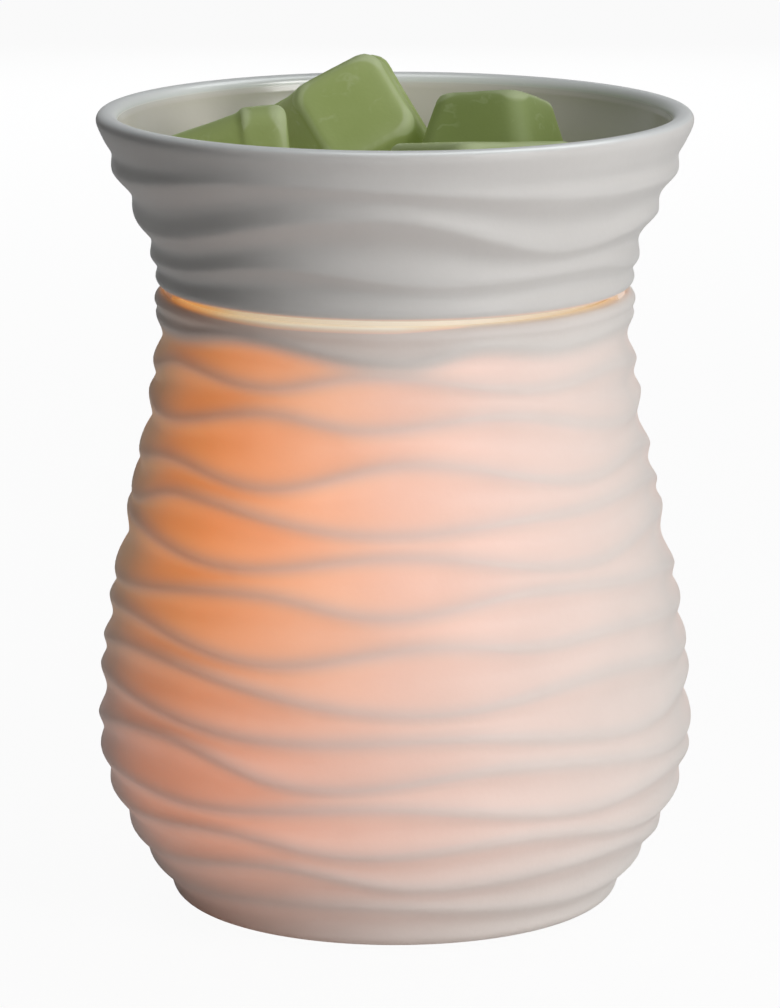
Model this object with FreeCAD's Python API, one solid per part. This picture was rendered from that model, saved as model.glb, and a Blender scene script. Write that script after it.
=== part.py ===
import FreeCAD, Part
import math
import os

from FreeCAD import Placement, Rotation, Vector

# Wax warmer pot: a rippled porcelain lamp body, a wax dish that lifts off it, four wax cubes in the dish, and
# the lamp, lampholder and fittings inside. Millimetres. The origin is on the table under the middle of the pot,
# +Z is up, the front faces -Y and the cord bush is at the back, +Y.
# Angles round the pot are in degrees from the front, growing towards +X.

# Porcelain lamp body. Its radii are those of the ripple crests.
FOOT_LIFT = 1.0
FOOT_RADIUS = 42.8
BELLY_RADIUS = 58.9
BELLY_HEIGHT = 36.0
NECK_RADIUS = 46.8
LIP_FLARE = 0.4
COLLAR_HEIGHT = 6.7
BODY_TOP = 122.7
BODY_WALL = 4.4
FOOT_ROUND = 1.6
LIP_ROUND = 1.7
SHOULDER_FULLNESS = 0.65
RECESS_RADIUS = 36.0
RECESS_DEPTH = 8.0
FLOOR_THICKNESS = 4.0
FLOOR_HOLE_RADIUS = 30.0
FLOOR_CLEARANCE = 0.5
FLOOR_EDGE = 0.5

# Ripples: depth between two crests one pitch apart, and how far a wide valley may deepen.
BODY_RIPPLE_DEPTH = 1.1
DISH_RIPPLE_DEPTH = 1.3
DEEPEST_VALLEY = 1.35
VALLEY_FULLNESS = 1.6

# Each crest line swings between turning points: the angle, and the height in thousandths of the height of the
# body or the dish. The lines repeat after half a turn.
REPEAT_ANGLE = 180.0
BODY_CRESTS = (
    ((-62, 61), (-8, 78), (46, 58), (84, 72)),
    ((-62, 115), (-25, 144), (5, 114), (56, 138), (86, 120)),
    ((-62, 184), (-36, 196), (-8, 173), (28, 196), (62, 173), (88, 189)),
    ((-72, 247), (-42, 234), (-2, 258), (39, 230), (72, 254)),
    ((-52, 337), (-15, 285), (23, 316), (70, 288)),
    ((-78, 390), (-25, 357), (10, 368), (53, 343), (84, 382)),
    ((-60, 459), (5, 407), (48, 444), (80, 427)),
    ((-67, 509), (-27, 476), (9, 512), (30, 501), (50, 508), (80, 497)),
    ((-82, 546), (-28, 581), (-2, 557), (30, 586), (70, 571)),
    ((-80, 649), (-37, 618), (2, 649), (43, 616), (78, 653)),
    ((-80, 678), (-53, 715), (-3, 681), (35, 698), (75, 713)),
    ((-84, 744), (-60, 764), (-31, 744), (4, 790), (48, 745), (74, 768)),
    ((-66, 824), (-29, 859), (-7, 842), (22, 858), (66, 816), (88, 838)),
    ((-84, 887), (-62, 914), (-33, 898), (-5, 924), (38, 894), (64, 906)),
    ((-66, 961), (-38, 978), (2, 947), (22, 970), (42, 958), (70, 966)),
)
DISH_CRESTS = (
    ((-65, 179), (-25, 287), (12, 208), (50, 238), (80, 164)),
    ((-68, 364), (-4, 607), (41, 367), (75, 443)),
    ((-75, 663), (-22, 795), (55, 677)),
)

# How finely the rippled faces are drawn: points round the pot, rows up a wall and rows round a rounded edge, and
# the angle where a ring of points starts.
RING_POINT_COUNT = 48
BODY_ROW_COUNT = 60
DISH_ROW_COUNT = 20
EDGE_ROW_COUNT = 4
RING_START_ANGLE = 20.0

# Wax dish. It stands on three low rests that leave a lit gap above the body.
LIGHT_GAP = 1.2
DISH_HEIGHT = 34.1
DISH_SETBACK = 0.5
RIM_SETBACK = 0.4
RIM_THICKNESS = 4.4
RIM_FLAT = 0.5
DISH_WALL = 4.8
DISH_FLOOR = 5.0
DISH_STRAIGHTNESS = 0.3
DISH_ROUND = 1.6
BOWL_CORNER = 5.0
LOCATING_CLEARANCE = 1.2
LOCATING_WALL = 3.0
LOCATING_DEPTH = 5.0
REST_ANGLES = (78.0, 180.0, 282.0)
REST_SPAN = 10.0
REST_INSET = 0.2

# Wax cubes, all from one mould: a tapered block on a wider cap. Each is set by the place of its middle in plan
# and by three turns: a spin about its own axis, a lean about Y and then a lean about X.
CUBE_SMALL_END = 19.0
CUBE_LARGE_END = 26.5
CUBE_TAPER_HEIGHT = 16.0
CUBE_CAP_WIDTH = 28.0
CUBE_CAP_HEIGHT = 9.0
CUBE_CORNER = 4.0
CUBE_EDGE = 2.4
CUBE_STEP_EDGE = 0.6
CUBE_CLEARANCE = 0.3
CUBE_LIFT_STEP = 0.2
CUBE_POINT_SPACING = 0.1
CUBES = {
    "wax_cube_left": (-32.3, -3.1, -10.5, -96.0, -18.0),
    "wax_cube_middle": (-8.3, 30.8, 29.5, 0.0, 61.5),
    "wax_cube_right": (19.7, 19.8, -24.7, 1.2, -16.7),
    "wax_cube_front": (16.7, -27.3, -32.6, 0.7, 171.8),
}

# Base plate, gasket and feet under the floor ring.
GASKET_THICKNESS = 0.5
PLATE_THICKNESS = 1.2
PLATE_CLEARANCE = 0.8
VENT_COUNT = 8
VENT_RADIUS = 2.5
VENT_CIRCLE = 12.0
FOOT_PAD_RADIUS = 5.5
FOOT_PAD_CIRCLE = 25.0
FOOT_PAD_EDGE = 1.0
FOOT_NECK_RADIUS = 2.0
FOOT_HEAD_RADIUS = 2.8
FOOT_HEAD_HEIGHT = 1.4
FOOT_ANGLES = (45.0, 135.0, 225.0, 315.0)

# Clamp bar above the floor ring, with its pads, bolts and nuts.
PAD_THICKNESS = 1.0
BAR_THICKNESS = 1.6
BAR_WIDTH = 24.0
BAR_OVERLAP = 8.0
BAR_CORNER = 3.0
BOLT_RADIUS = 2.0
BOLT_HEAD_RADIUS = 3.8
BOLT_HEAD_HEIGHT = 2.2
BOLT_SPARE = 1.5
NUT_ACROSS_FLATS = 7.0
NUT_HEIGHT = 3.2
BOLT_PLACE = 20.0
HOLE_CLEARANCE = 0.15

# Steatite lampholder with a twist lock, its contacts and its screws.
HOLDER_RADIUS = 13.5
HOLDER_HEIGHT = 24.0
HOLDER_WALL = 3.0
HOLDER_FLOOR = 4.0
HOLDER_TOP = 4.0
HOLDER_EDGE = 0.8
PIN_SPACING = 10.0
PIN_RADIUS = 1.2
PIN_HEAD_RADIUS = 2.2
PIN_HEAD_HEIGHT = 2.4
PIN_CLEARANCE = 0.35
LOCK_TURN = 40.0
CONTACT_THICKNESS = 0.8
CONTACT_WIDTH = 6.0
CONTACT_REACH = 2.9
CONTACT_SHIFT = 0.8
HOLDER_SCREW_RADIUS = 1.5
HOLDER_SCREW_HEAD_RADIUS = 2.6
HOLDER_SCREW_HEAD_HEIGHT = 1.8
HOLDER_SCREW_PLACE = 6.5

# Reflector lamp.
LAMP_LIFT = 0.3
LAMP_STEM_RADIUS = 13.0
LAMP_COLLAR_RADIUS = 14.2
LAMP_STEM_HEIGHT = 5.0
LAMP_BASE_HEIGHT = 14.0
REFLECTOR_RADIUS = 25.0
REFLECTOR_HEIGHT = 31.0
REFLECTOR_WALL = 1.4
REFLECTOR_RIM = 2.0
FRONT_GLASS_THICKNESS = 1.5
FRONT_GLASS_CLEARANCE = 0.2
CAPSULE_RADIUS = 4.8
CAPSULE_HEIGHT = 18.0
CAPSULE_WALL = 0.8
CAPSULE_DOME_SHARE = 0.8
CAPSULE_SOCKET_DEPTH = 4.0
FILAMENT_RADIUS = 0.35
FILAMENT_HALF_SPAN = 2.4
FILAMENT_DROP = 3.5

# Terminal block on the back end of the bar, and the leads from it to the lampholder.
TERMINAL_WIDTH = 20.0
TERMINAL_LENGTH = 12.0
TERMINAL_HEIGHT = 12.0
TERMINAL_EDGE = 1.0
TERMINAL_END_GAP = 0.5
TERMINAL_SPACING = 10.0
SLEEVE_RADIUS = 2.4
SLEEVE_BORE = 1.5
SLEEVE_CLEARANCE = 0.05
TERMINAL_SCREW_RADIUS = 1.2
TERMINAL_SCREW_OFFSET = 3.2
TERMINAL_WELL_RADIUS = 1.9
FIXING_SCREW_RADIUS = 1.5
FIXING_HEAD_RADIUS = 2.4
FIXING_HEAD_HEIGHT = 1.8
LEAD_RADIUS = 1.1
LEAD_PORT_RADIUS = 1.5
LEAD_LIFT = 8.4
LEAD_INSERT = 4.5
LEAD_STRAIGHT = 3.5
LEAD_CORNER_SHARE = 0.45

# Rubber bush in the back wall, square to the wall there.
BUSH_HEIGHT = 19.0
BUSH_SEAT_RADIUS = 7.6
BUSH_SEAT_DEPTH = 1.4
BUSH_FLANGE_RADIUS = 6.8
BUSH_FLANGE_THICKNESS = 2.2
BUSH_NECK_RADIUS = 5.0
BUSH_BORE_RADIUS = 3.4
BUSH_RING_RADIUS = 6.2
BUSH_RING_THICKNESS = 1.5
BUSH_CLEARANCE = 0.1
BUSH_INNER_GAP = 0.7

# Heights and radii worked out from the sizes above.
ORIGIN = Vector(0, 0, 0)
UP = Vector(0, 0, 1)
ALONG_X = Vector(1, 0, 0)
ALONG_Y = Vector(0, 1, 0)
LIP_RADIUS = NECK_RADIUS + LIP_FLARE
BODY_HEIGHT = BODY_TOP - FOOT_LIFT
NECK_HEIGHT = BODY_TOP - COLLAR_HEIGHT
FLOOR_BOTTOM = FOOT_LIFT + RECESS_DEPTH
FLOOR_TOP = FLOOR_BOTTOM + FLOOR_THICKNESS
PLATE_TOP = FLOOR_BOTTOM - GASKET_THICKNESS
PLATE_BOTTOM = PLATE_TOP - PLATE_THICKNESS
PLATE_RADIUS = RECESS_RADIUS - PLATE_CLEARANCE
BAR_BOTTOM = FLOOR_TOP + PAD_THICKNESS
BAR_TOP = BAR_BOTTOM + BAR_THICKNESS
BAR_END = FLOOR_HOLE_RADIUS + BAR_OVERLAP
HOLDER_CAVITY_RADIUS = HOLDER_RADIUS - HOLDER_WALL
HOLDER_CAVITY_BOTTOM = BAR_TOP + HOLDER_FLOOR
HOLDER_END = BAR_TOP + HOLDER_HEIGHT
HOLDER_CAVITY_TOP = HOLDER_END - HOLDER_TOP
PIN_CIRCLE = PIN_SPACING / 2
PIN_HEAD_TOP = HOLDER_CAVITY_TOP - PIN_CLEARANCE
PIN_HEAD_BOTTOM = PIN_HEAD_TOP - PIN_HEAD_HEIGHT
LAMP_BOTTOM = HOLDER_END + LAMP_LIFT
REFLECTOR_BOTTOM = LAMP_BOTTOM + LAMP_BASE_HEIGHT
LAMP_TOP = REFLECTOR_BOTTOM + REFLECTOR_HEIGHT
DISH_BOTTOM = BODY_TOP + LIGHT_GAP
DISH_BASE_RADIUS = LIP_RADIUS - DISH_SETBACK
RIM_RADIUS = BELLY_RADIUS - RIM_SETBACK
DISH_TOP = DISH_BOTTOM + DISH_HEIGHT
BOWL_FLOOR = DISH_BOTTOM + DISH_FLOOR
BOWL_CORNER_TOP = BOWL_FLOOR + BOWL_CORNER
RIM_ROUND = (RIM_THICKNESS - RIM_FLAT) / 2
TERMINAL_MIDDLE = BAR_END - TERMINAL_END_GAP - TERMINAL_LENGTH / 2
SLEEVE_HEIGHT = BAR_TOP + TERMINAL_HEIGHT / 2


def on_ring(radius, angle, z):
    """Point at a radius and an angle from the front."""
    turn = math.radians(angle)
    return Vector(radius * math.sin(turn), -radius * math.cos(turn), z)


def ease(t):
    """Rise from 0 to 1 with a level start and a level end."""
    return (1 - math.cos(math.pi * t)) / 2


def body_radius(z):
    """Crest radius of the lamp body: a round belly, a long shoulder and a short flared collar."""
    if z <= BELLY_HEIGHT:
        t = (z - FOOT_LIFT) / (BELLY_HEIGHT - FOOT_LIFT)
        return FOOT_RADIUS + (BELLY_RADIUS - FOOT_RADIUS) * math.sin(t * math.pi / 2)
    if z <= NECK_HEIGHT:
        t = (z - BELLY_HEIGHT) / (NECK_HEIGHT - BELLY_HEIGHT)
        fall = SHOULDER_FULLNESS * ease(t) + (1 - SHOULDER_FULLNESS) * (1 - math.cos(t * math.pi / 2))
        return BELLY_RADIUS - (BELLY_RADIUS - NECK_RADIUS) * fall
    return NECK_RADIUS + (LIP_RADIUS - NECK_RADIUS) * ease((z - NECK_HEIGHT) / COLLAR_HEIGHT)


def dish_radius(z):
    """Crest radius of the dish, which flares from its base to its rim."""
    t = (z - DISH_BOTTOM) / DISH_HEIGHT
    flare = (1 - DISH_STRAIGHTNESS) * ease(t) + DISH_STRAIGHTNESS * t
    return DISH_BASE_RADIUS + (RIM_RADIUS - DISH_BASE_RADIUS) * flare


def bowl_radius(z):
    """Radius of the bowl at a height, on its wall and round its floor corner."""
    if z >= BOWL_CORNER_TOP:
        return dish_radius(z) - DISH_WALL
    middle = dish_radius(BOWL_CORNER_TOP) - DISH_WALL - BOWL_CORNER
    return middle + math.sqrt(max(BOWL_CORNER ** 2 - (BOWL_CORNER_TOP - z) ** 2, 0.0))


def crest_height(turns, angle):
    """Height of one crest line at an angle, in thousandths, eased between its turning points."""
    start = turns[0][0]
    along = start + (angle - start) % REPEAT_ANGLE
    closed = turns + ((start + REPEAT_ANGLE, turns[0][1]),)
    for (low_angle, low), (high_angle, high) in zip(closed, closed[1:]):
        if along <= high_angle:
            return low + (high - low) * ease((along - low_angle) / (high_angle - low_angle))
    return turns[0][1]


def valley(z, lines, depth):
    """How far the wall stands in from its crests at a height, between the two nearest crest lines."""
    pitch = (lines[-1] - lines[0]) / (len(lines) - 1)
    for low, high in zip(lines, lines[1:]):
        if low <= z <= high:
            deep = depth * min((high - low) / pitch, DEEPEST_VALLEY)
            between = max(math.sin(math.pi * (z - low) / (high - low)), 0.0)
            return deep * between ** VALLEY_FULLNESS
    return 0.0


def edge_pull(gap, size):
    """How far a rounded edge pulls the wall in at a height of gap from the end of the wall."""
    if gap >= size:
        return 0.0
    return size - math.sqrt(max(size ** 2 - (size - gap) ** 2, 0.0))


def wall_heights(bottom, top, low_round, high_round, rows):
    """Heights of the rows of a rippled wall, close together round its two rounded edges."""
    turns = [math.pi / 2 * i / EDGE_ROW_COUNT for i in range(EDGE_ROW_COUNT)]
    low = [bottom + low_round * (1 - math.cos(turn)) for turn in turns]
    high = [top - high_round * (1 - math.cos(turn)) for turn in reversed(turns)]
    step = (top - high_round - bottom - low_round) / rows
    return low + [bottom + low_round + step * i for i in range(rows + 1)] + high


def rippled_rows(bottom, height, radius_at, crests, depth, low_round, high_round, rows):
    """Rings of points on a rippled wall, one ring for each row."""
    top = bottom + height
    angles = [RING_START_ANGLE + 360.0 * i / RING_POINT_COUNT for i in range(RING_POINT_COUNT)]
    lines = []
    for angle in angles:
        between = [bottom + height * crest_height(turns, angle) / 1000 for turns in crests]
        lines.append([bottom + low_round] + between + [top - high_round])
    rings = []
    for z in wall_heights(bottom, top, low_round, high_round, rows):
        pull = edge_pull(z - bottom, low_round) + edge_pull(top - z, high_round)
        smooth = radius_at(z) - pull
        rings.append([on_ring(smooth - valley(z, line, depth), angle, z) for angle, line in zip(angles, lines)])
    return rings


def spline_poles(points, closed):
    """Poles of an even cubic spline that passes by the points: a sixth of the second difference outside them."""
    poles = []
    last = len(points) - 1
    for i, point in enumerate(points):
        if not closed and i in (0, last):
            poles.append(point)
            continue
        before = points[i - 1]
        after = points[(i + 1) % len(points)]
        poles.append(point - (before - point * 2 + after) * (1 / 6))
    return poles


def rippled_solid(rings):
    """Solid inside rings of points, with one smooth side face and flat ends."""
    by_ring = [spline_poles(ring, True) for ring in rings]
    columns = [spline_poles(list(column), False) for column in zip(*by_ring)]
    ring_knots = list(range(RING_POINT_COUNT + 1))
    row_knots = list(range(len(rings) - 2))
    row_mults = [4] + [1] * (len(row_knots) - 2) + [4]
    surface = Part.BSplineSurface()
    surface.buildFromPolesMultsKnots(
        columns, [1] * len(ring_knots), row_mults, ring_knots, row_knots, True, False, 3, 3
    )
    side = surface.toShape()
    ends = [Part.Face(Part.Wire([edge])) for edge in side.Edges if edge.isClosed()]
    shell = Part.Shell([side] + ends)
    shell.sewShape()
    return Part.Solid(shell)


def cylinder(radius, bottom, top, x=0.0, y=0.0):
    """Upright cylinder."""
    return Part.makeCylinder(radius, top - bottom, Vector(x, y, bottom))


def tube(outer, inner, bottom, top):
    """Upright tube on the pot's axis."""
    return cylinder(outer, bottom, top).cut(cylinder(inner, bottom, top))


def block(width, depth, bottom, top, x=0.0, y=0.0):
    """Upright block centred on a place in plan."""
    return Part.makeBox(width, depth, top - bottom, Vector(x - width / 2, y - depth / 2, bottom))


def curve_through(points):
    """Smooth curve through points, as an edge."""
    spline = Part.BSplineCurve()
    spline.interpolate(points)
    return spline.toShape()


def straight(first, second):
    """Straight edge."""
    return Part.makeLine(first, second)


def turned(edges):
    """Solid of revolution about Z from the edges of a closed half section in the XZ plane."""
    return Part.Face(Part.Wire(edges)).revolve(ORIGIN, UP, 360)


def turned_outline(points):
    """Solid of revolution about Z from straight runs between radius and height pairs."""
    corners = [Vector(radius, 0, z) for radius, z in points]
    return Part.Face(Part.makePolygon(corners + corners[:1])).revolve(ORIGIN, UP, 360)


def rounded_square(width, corner, z):
    """Closed wire of a square with rounded corners, centred on the axis."""
    half = width / 2
    inner = half - corner
    mid = inner + corner * math.sqrt(0.5)
    edges = []
    for quarter in range(4):
        turn = Placement(ORIGIN, Rotation(UP, 90 * quarter))
        side = straight(turn.multVec(Vector(half, -inner, z)), turn.multVec(Vector(half, inner, z)))
        start = turn.multVec(Vector(half, inner, z))
        bulge = turn.multVec(Vector(mid, mid, z))
        finish = turn.multVec(Vector(inner, half, z))
        edges += [side, Part.Arc(start, bulge, finish).toShape()]
    return Part.Wire(edges)


def level_edges(shape, z):
    """Edges of a shape that lie at one height."""
    near = 1e-4
    return [e for e in shape.Edges if abs(e.BoundBox.ZMin - z) < near and abs(e.BoundBox.ZMax - z) < near]


def save(node, *solids):
    """Write the solids of one node."""
    shape = solids[0] if len(solids) == 1 else Part.makeCompound(list(solids))
    shape.exportStep(f"parts/{node}.step")


def bush_frame():
    """Placement whose origin is the bush's seat in the back wall and whose Z points out of the wall."""
    step = 0.5
    slope = (body_radius(BUSH_HEIGHT + step) - body_radius(BUSH_HEIGHT - step)) / (2 * step)
    tilt = math.atan(slope)
    outward = Vector(0, math.cos(tilt), -math.sin(tilt))
    wall_point = Vector(0, body_radius(BUSH_HEIGHT), BUSH_HEIGHT)
    return Placement(wall_point - outward * BUSH_SEAT_DEPTH, Rotation(UP, outward)), tilt


def ripple_body():
    """Porcelain lamp body: rippled outside, smooth inside, with a ledge for the floor ring above a foot recess."""
    rings = rippled_rows(
        FOOT_LIFT, BODY_HEIGHT, body_radius, BODY_CRESTS, BODY_RIPPLE_DEPTH, FOOT_ROUND, LIP_ROUND, BODY_ROW_COUNT
    )
    steps = 14
    heights = [FLOOR_BOTTOM + (BODY_TOP - FLOOR_BOTTOM) * i / steps for i in range(steps + 1)]
    wall = [Vector(body_radius(z) - BODY_WALL, 0, z) for z in heights]
    chamber = turned([
        straight(Vector(0, 0, FLOOR_BOTTOM), wall[0]),
        curve_through(wall),
        straight(wall[-1], Vector(0, 0, BODY_TOP)),
        straight(Vector(0, 0, BODY_TOP), Vector(0, 0, FLOOR_BOTTOM)),
    ])
    recess = cylinder(RECESS_RADIUS, FOOT_LIFT, FLOOR_BOTTOM)
    past_wall = BODY_WALL * 2
    bush_room = turned_outline((
        (0, -past_wall), (BUSH_NECK_RADIUS, -past_wall), (BUSH_NECK_RADIUS, 0), (BUSH_SEAT_RADIUS, 0),
        (BUSH_SEAT_RADIUS, past_wall), (0, past_wall),
    ))
    bush_room.Placement = bush_frame()[0]
    body = rippled_solid(rings)
    for opening in (chamber, recess, bush_room):
        body = body.cut(opening)
    save("ripple_body", body)


def floor_ring():
    """Porcelain floor ring, set on the ledge inside the lamp body."""
    outer = body_radius(FLOOR_BOTTOM) - BODY_WALL - FLOOR_CLEARANCE
    ring = tube(outer, FLOOR_HOLE_RADIUS, FLOOR_BOTTOM, FLOOR_TOP)
    save("floor_ring", ring.makeFillet(FLOOR_EDGE, level_edges(ring, FLOOR_TOP)))


def bowl_void():
    """Space inside the dish, with the rounded inner lip of the rim and a rounded floor corner."""
    steps = 6
    lip_start = Vector(RIM_RADIUS - RIM_ROUND - RIM_FLAT, 0, DISH_TOP)
    lip_centre = lip_start - UP * RIM_ROUND
    lip_end = lip_centre - ALONG_X * RIM_ROUND
    lip_mid = lip_centre + (UP - ALONG_X) * (RIM_ROUND * math.sqrt(0.5))
    wall = [lip_end]
    for i in range(1, steps + 1):
        z = lip_end.z + (BOWL_CORNER_TOP - lip_end.z) * i / steps
        wall.append(Vector(bowl_radius(z), 0, z))
    corner_centre = wall[-1] - ALONG_X * BOWL_CORNER
    corner_mid = corner_centre + (ALONG_X - UP) * (BOWL_CORNER * math.sqrt(0.5))
    corner_end = corner_centre - UP * BOWL_CORNER
    return turned([
        straight(Vector(0, 0, DISH_TOP), lip_start),
        Part.Arc(lip_start, lip_mid, lip_end).toShape(),
        curve_through(wall),
        Part.Arc(wall[-1], corner_mid, corner_end).toShape(),
        straight(corner_end, Vector(0, 0, BOWL_FLOOR)),
        straight(Vector(0, 0, BOWL_FLOOR), Vector(0, 0, DISH_TOP)),
    ])


def wax_dish():
    """Flared dish: rippled outside, smooth bowl, a locating ring and three rests underneath."""
    rings = rippled_rows(
        DISH_BOTTOM, DISH_HEIGHT, dish_radius, DISH_CRESTS, DISH_RIPPLE_DEPTH, DISH_ROUND, RIM_ROUND, DISH_ROW_COUNT
    )
    opening = LIP_RADIUS - BODY_WALL
    ring_outer = opening - LOCATING_CLEARANCE
    ring = tube(ring_outer, ring_outer - LOCATING_WALL, DISH_BOTTOM - LOCATING_DEPTH, DISH_BOTTOM)
    rest_inner = opening + REST_INSET
    rest_outer = LIP_RADIUS - LIP_ROUND - REST_INSET
    dish = rippled_solid(rings).cut(bowl_void()).fuse(ring)
    for angle in REST_ANGLES:
        rest = Part.makeCylinder(rest_outer, LIGHT_GAP, Vector(0, 0, BODY_TOP), UP, REST_SPAN)
        rest = rest.cut(cylinder(rest_inner, BODY_TOP, DISH_BOTTOM))
        rest.rotate(ORIGIN, UP, angle - 90 - REST_SPAN / 2)
        dish = dish.fuse(rest)
    save("wax_dish", dish)


def cube_blank():
    """One wax cube from the mould, standing on its cap with its small end up."""
    top = CUBE_CAP_HEIGHT + CUBE_TAPER_HEIGHT
    cap = Part.Face(rounded_square(CUBE_CAP_WIDTH, CUBE_CORNER, 0)).extrude(UP * CUBE_CAP_HEIGHT)
    cap = cap.makeFillet(CUBE_EDGE, level_edges(cap, 0))
    cap = cap.makeFillet(CUBE_STEP_EDGE, level_edges(cap, CUBE_CAP_HEIGHT))
    low = rounded_square(CUBE_LARGE_END, CUBE_CORNER, CUBE_CAP_HEIGHT)
    high = rounded_square(CUBE_SMALL_END, CUBE_CORNER, top)
    taper = Part.makeLoft([low, high], True, True)
    taper = taper.makeFillet(CUBE_EDGE, level_edges(taper, top))
    cube = cap.fuse(taper).removeSplitter()
    cube.translate(UP * (-top / 2))
    return cube


def wall_lift(cube):
    """How far a cube just clear of the bowl's floor has to rise before it is clear of the bowl's wall too."""
    lift = 0.0
    points = cube.tessellate(CUBE_POINT_SPACING)[0]
    reach = [(math.hypot(point.x, point.y) + CUBE_CLEARANCE, point.z) for point in points]
    while any(z + lift < DISH_TOP and radius > bowl_radius(z + lift) for radius, z in reach):
        lift += CUBE_LIFT_STEP
    return lift


def wax_cubes():
    """Wax cubes as they lie in the dish, each just clear of the bowl."""
    blank = cube_blank()
    for node, (x, y, spin, lean_y, lean_x) in CUBES.items():
        turn = Rotation(ALONG_X, lean_x).multiply(Rotation(ALONG_Y, lean_y)).multiply(Rotation(UP, spin))
        cube = blank.copy()
        cube.Placement = Placement(ORIGIN, turn).multiply(cube.Placement)
        lowest = cube.optimalBoundingBox(False, False).ZMin
        cube.translate(Vector(x, y, BOWL_FLOOR + CUBE_CLEARANCE - lowest))
        cube.translate(UP * wall_lift(cube))
        save(node, cube)


def base_plate():
    """Steel plate under the floor, with vents and holes for the feet and the bolts."""
    plate = cylinder(PLATE_RADIUS, PLATE_BOTTOM, PLATE_TOP)
    for i in range(VENT_COUNT):
        place = on_ring(VENT_CIRCLE, 360 * (i + 0.5) / VENT_COUNT, 0)
        plate = plate.cut(cylinder(VENT_RADIUS, PLATE_BOTTOM, PLATE_TOP, place.x, place.y))
    for angle in FOOT_ANGLES:
        place = on_ring(FOOT_PAD_CIRCLE, angle, 0)
        hole = cylinder(FOOT_NECK_RADIUS + HOLE_CLEARANCE, PLATE_BOTTOM, PLATE_TOP, place.x, place.y)
        plate = plate.cut(hole)
    for y in (-BOLT_PLACE, BOLT_PLACE):
        plate = plate.cut(cylinder(BOLT_RADIUS + HOLE_CLEARANCE, PLATE_BOTTOM, PLATE_TOP, 0, y))
    save("base_plate", plate)
    save("base_gasket", tube(PLATE_RADIUS, FLOOR_HOLE_RADIUS, PLATE_TOP, FLOOR_BOTTOM))


def feet():
    """Rubber feet: a round pad, a neck through the plate and a head above it."""
    for i, angle in enumerate(FOOT_ANGLES, 1):
        foot = turned_outline((
            (0, 0),
            (FOOT_PAD_RADIUS - FOOT_PAD_EDGE, 0),
            (FOOT_PAD_RADIUS, FOOT_PAD_EDGE),
            (FOOT_PAD_RADIUS, PLATE_BOTTOM),
            (FOOT_NECK_RADIUS, PLATE_BOTTOM),
            (FOOT_NECK_RADIUS, PLATE_TOP),
            (FOOT_HEAD_RADIUS, PLATE_TOP),
            (FOOT_NECK_RADIUS, PLATE_TOP + FOOT_HEAD_HEIGHT),
            (0, PLATE_TOP + FOOT_HEAD_HEIGHT),
        ))
        foot.translate(on_ring(FOOT_PAD_CIRCLE, angle, 0))
        save(f"foot_{i}", foot)


def clamp_bar():
    """Steel bar across the floor hole, on a pad at each end."""
    bar = block(BAR_WIDTH, 2 * BAR_END, BAR_BOTTOM, BAR_TOP)
    bar = bar.makeFillet(BAR_CORNER, [e for e in bar.Edges if e.BoundBox.ZLength > BAR_THICKNESS / 2])
    holes = [(BOLT_RADIUS, y) for y in (-BOLT_PLACE, BOLT_PLACE)]
    holes += [(HOLDER_SCREW_RADIUS, y) for y in (-HOLDER_SCREW_PLACE, HOLDER_SCREW_PLACE)]
    holes.append((FIXING_SCREW_RADIUS, TERMINAL_MIDDLE))
    for radius, y in holes:
        bar = bar.cut(cylinder(radius + HOLE_CLEARANCE, BAR_BOTTOM, BAR_TOP, 0, y))
    save("clamp_bar", bar)
    bearing = tube(BAR_END, FLOOR_HOLE_RADIUS, FLOOR_TOP, BAR_BOTTOM)
    pads = [
        bearing.common(block(BAR_WIDTH, BAR_END, FLOOR_TOP, BAR_BOTTOM, 0, side * BAR_END / 2)) for side in (-1, 1)
    ]
    save("clamp_pads", *[pad.Solids[0] for pad in pads])


def hexagon_nut(y):
    """Hexagon nut on the bar."""
    corner = NUT_ACROSS_FLATS / math.sqrt(3)
    corners = [on_ring(corner, 60 * i, BAR_TOP) for i in range(7)]
    nut = Part.Face(Part.makePolygon(corners)).extrude(UP * NUT_HEIGHT)
    nut = nut.cut(cylinder(BOLT_RADIUS + HOLE_CLEARANCE, BAR_TOP, BAR_TOP + NUT_HEIGHT))
    nut.translate(ALONG_Y * y)
    return nut


def clamp_bolts():
    """Bolts from under the plate up through the bar, and their nuts."""
    bolts = []
    nuts = []
    end = BAR_TOP + NUT_HEIGHT + BOLT_SPARE
    for y in (-BOLT_PLACE, BOLT_PLACE):
        head = cylinder(BOLT_HEAD_RADIUS, PLATE_BOTTOM - BOLT_HEAD_HEIGHT, PLATE_BOTTOM, 0, y)
        head = head.makeFillet(BOLT_HEAD_HEIGHT / 2, level_edges(head, PLATE_BOTTOM - BOLT_HEAD_HEIGHT))
        bolts.append(head.fuse(cylinder(BOLT_RADIUS, PLATE_BOTTOM, end, 0, y)))
        nuts.append(hexagon_nut(y))
    save("clamp_bolts", *bolts)
    save("clamp_nuts", *nuts)


def lock_slot(start):
    """Curved slot for one lamp pin, with a wide end where the pin's head goes in."""
    half = PIN_RADIUS + PIN_CLEARANCE
    bottom, top = HOLDER_CAVITY_TOP, HOLDER_END
    arc = Part.makeCylinder(PIN_CIRCLE + half, top - bottom, Vector(0, 0, bottom), UP, LOCK_TURN)
    arc = arc.cut(cylinder(PIN_CIRCLE - half, bottom, top))
    wide = cylinder(PIN_HEAD_RADIUS + PIN_CLEARANCE, bottom, top, PIN_CIRCLE, 0)
    wide.rotate(ORIGIN, UP, LOCK_TURN)
    slot = arc.fuse(cylinder(half, bottom, top, PIN_CIRCLE, 0)).fuse(wide)
    slot.rotate(ORIGIN, UP, start)
    return slot


def contact_leg():
    """Distance of the outer face of a contact's leg from the axis."""
    return PIN_CIRCLE + CONTACT_REACH + CONTACT_THICKNESS


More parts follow.
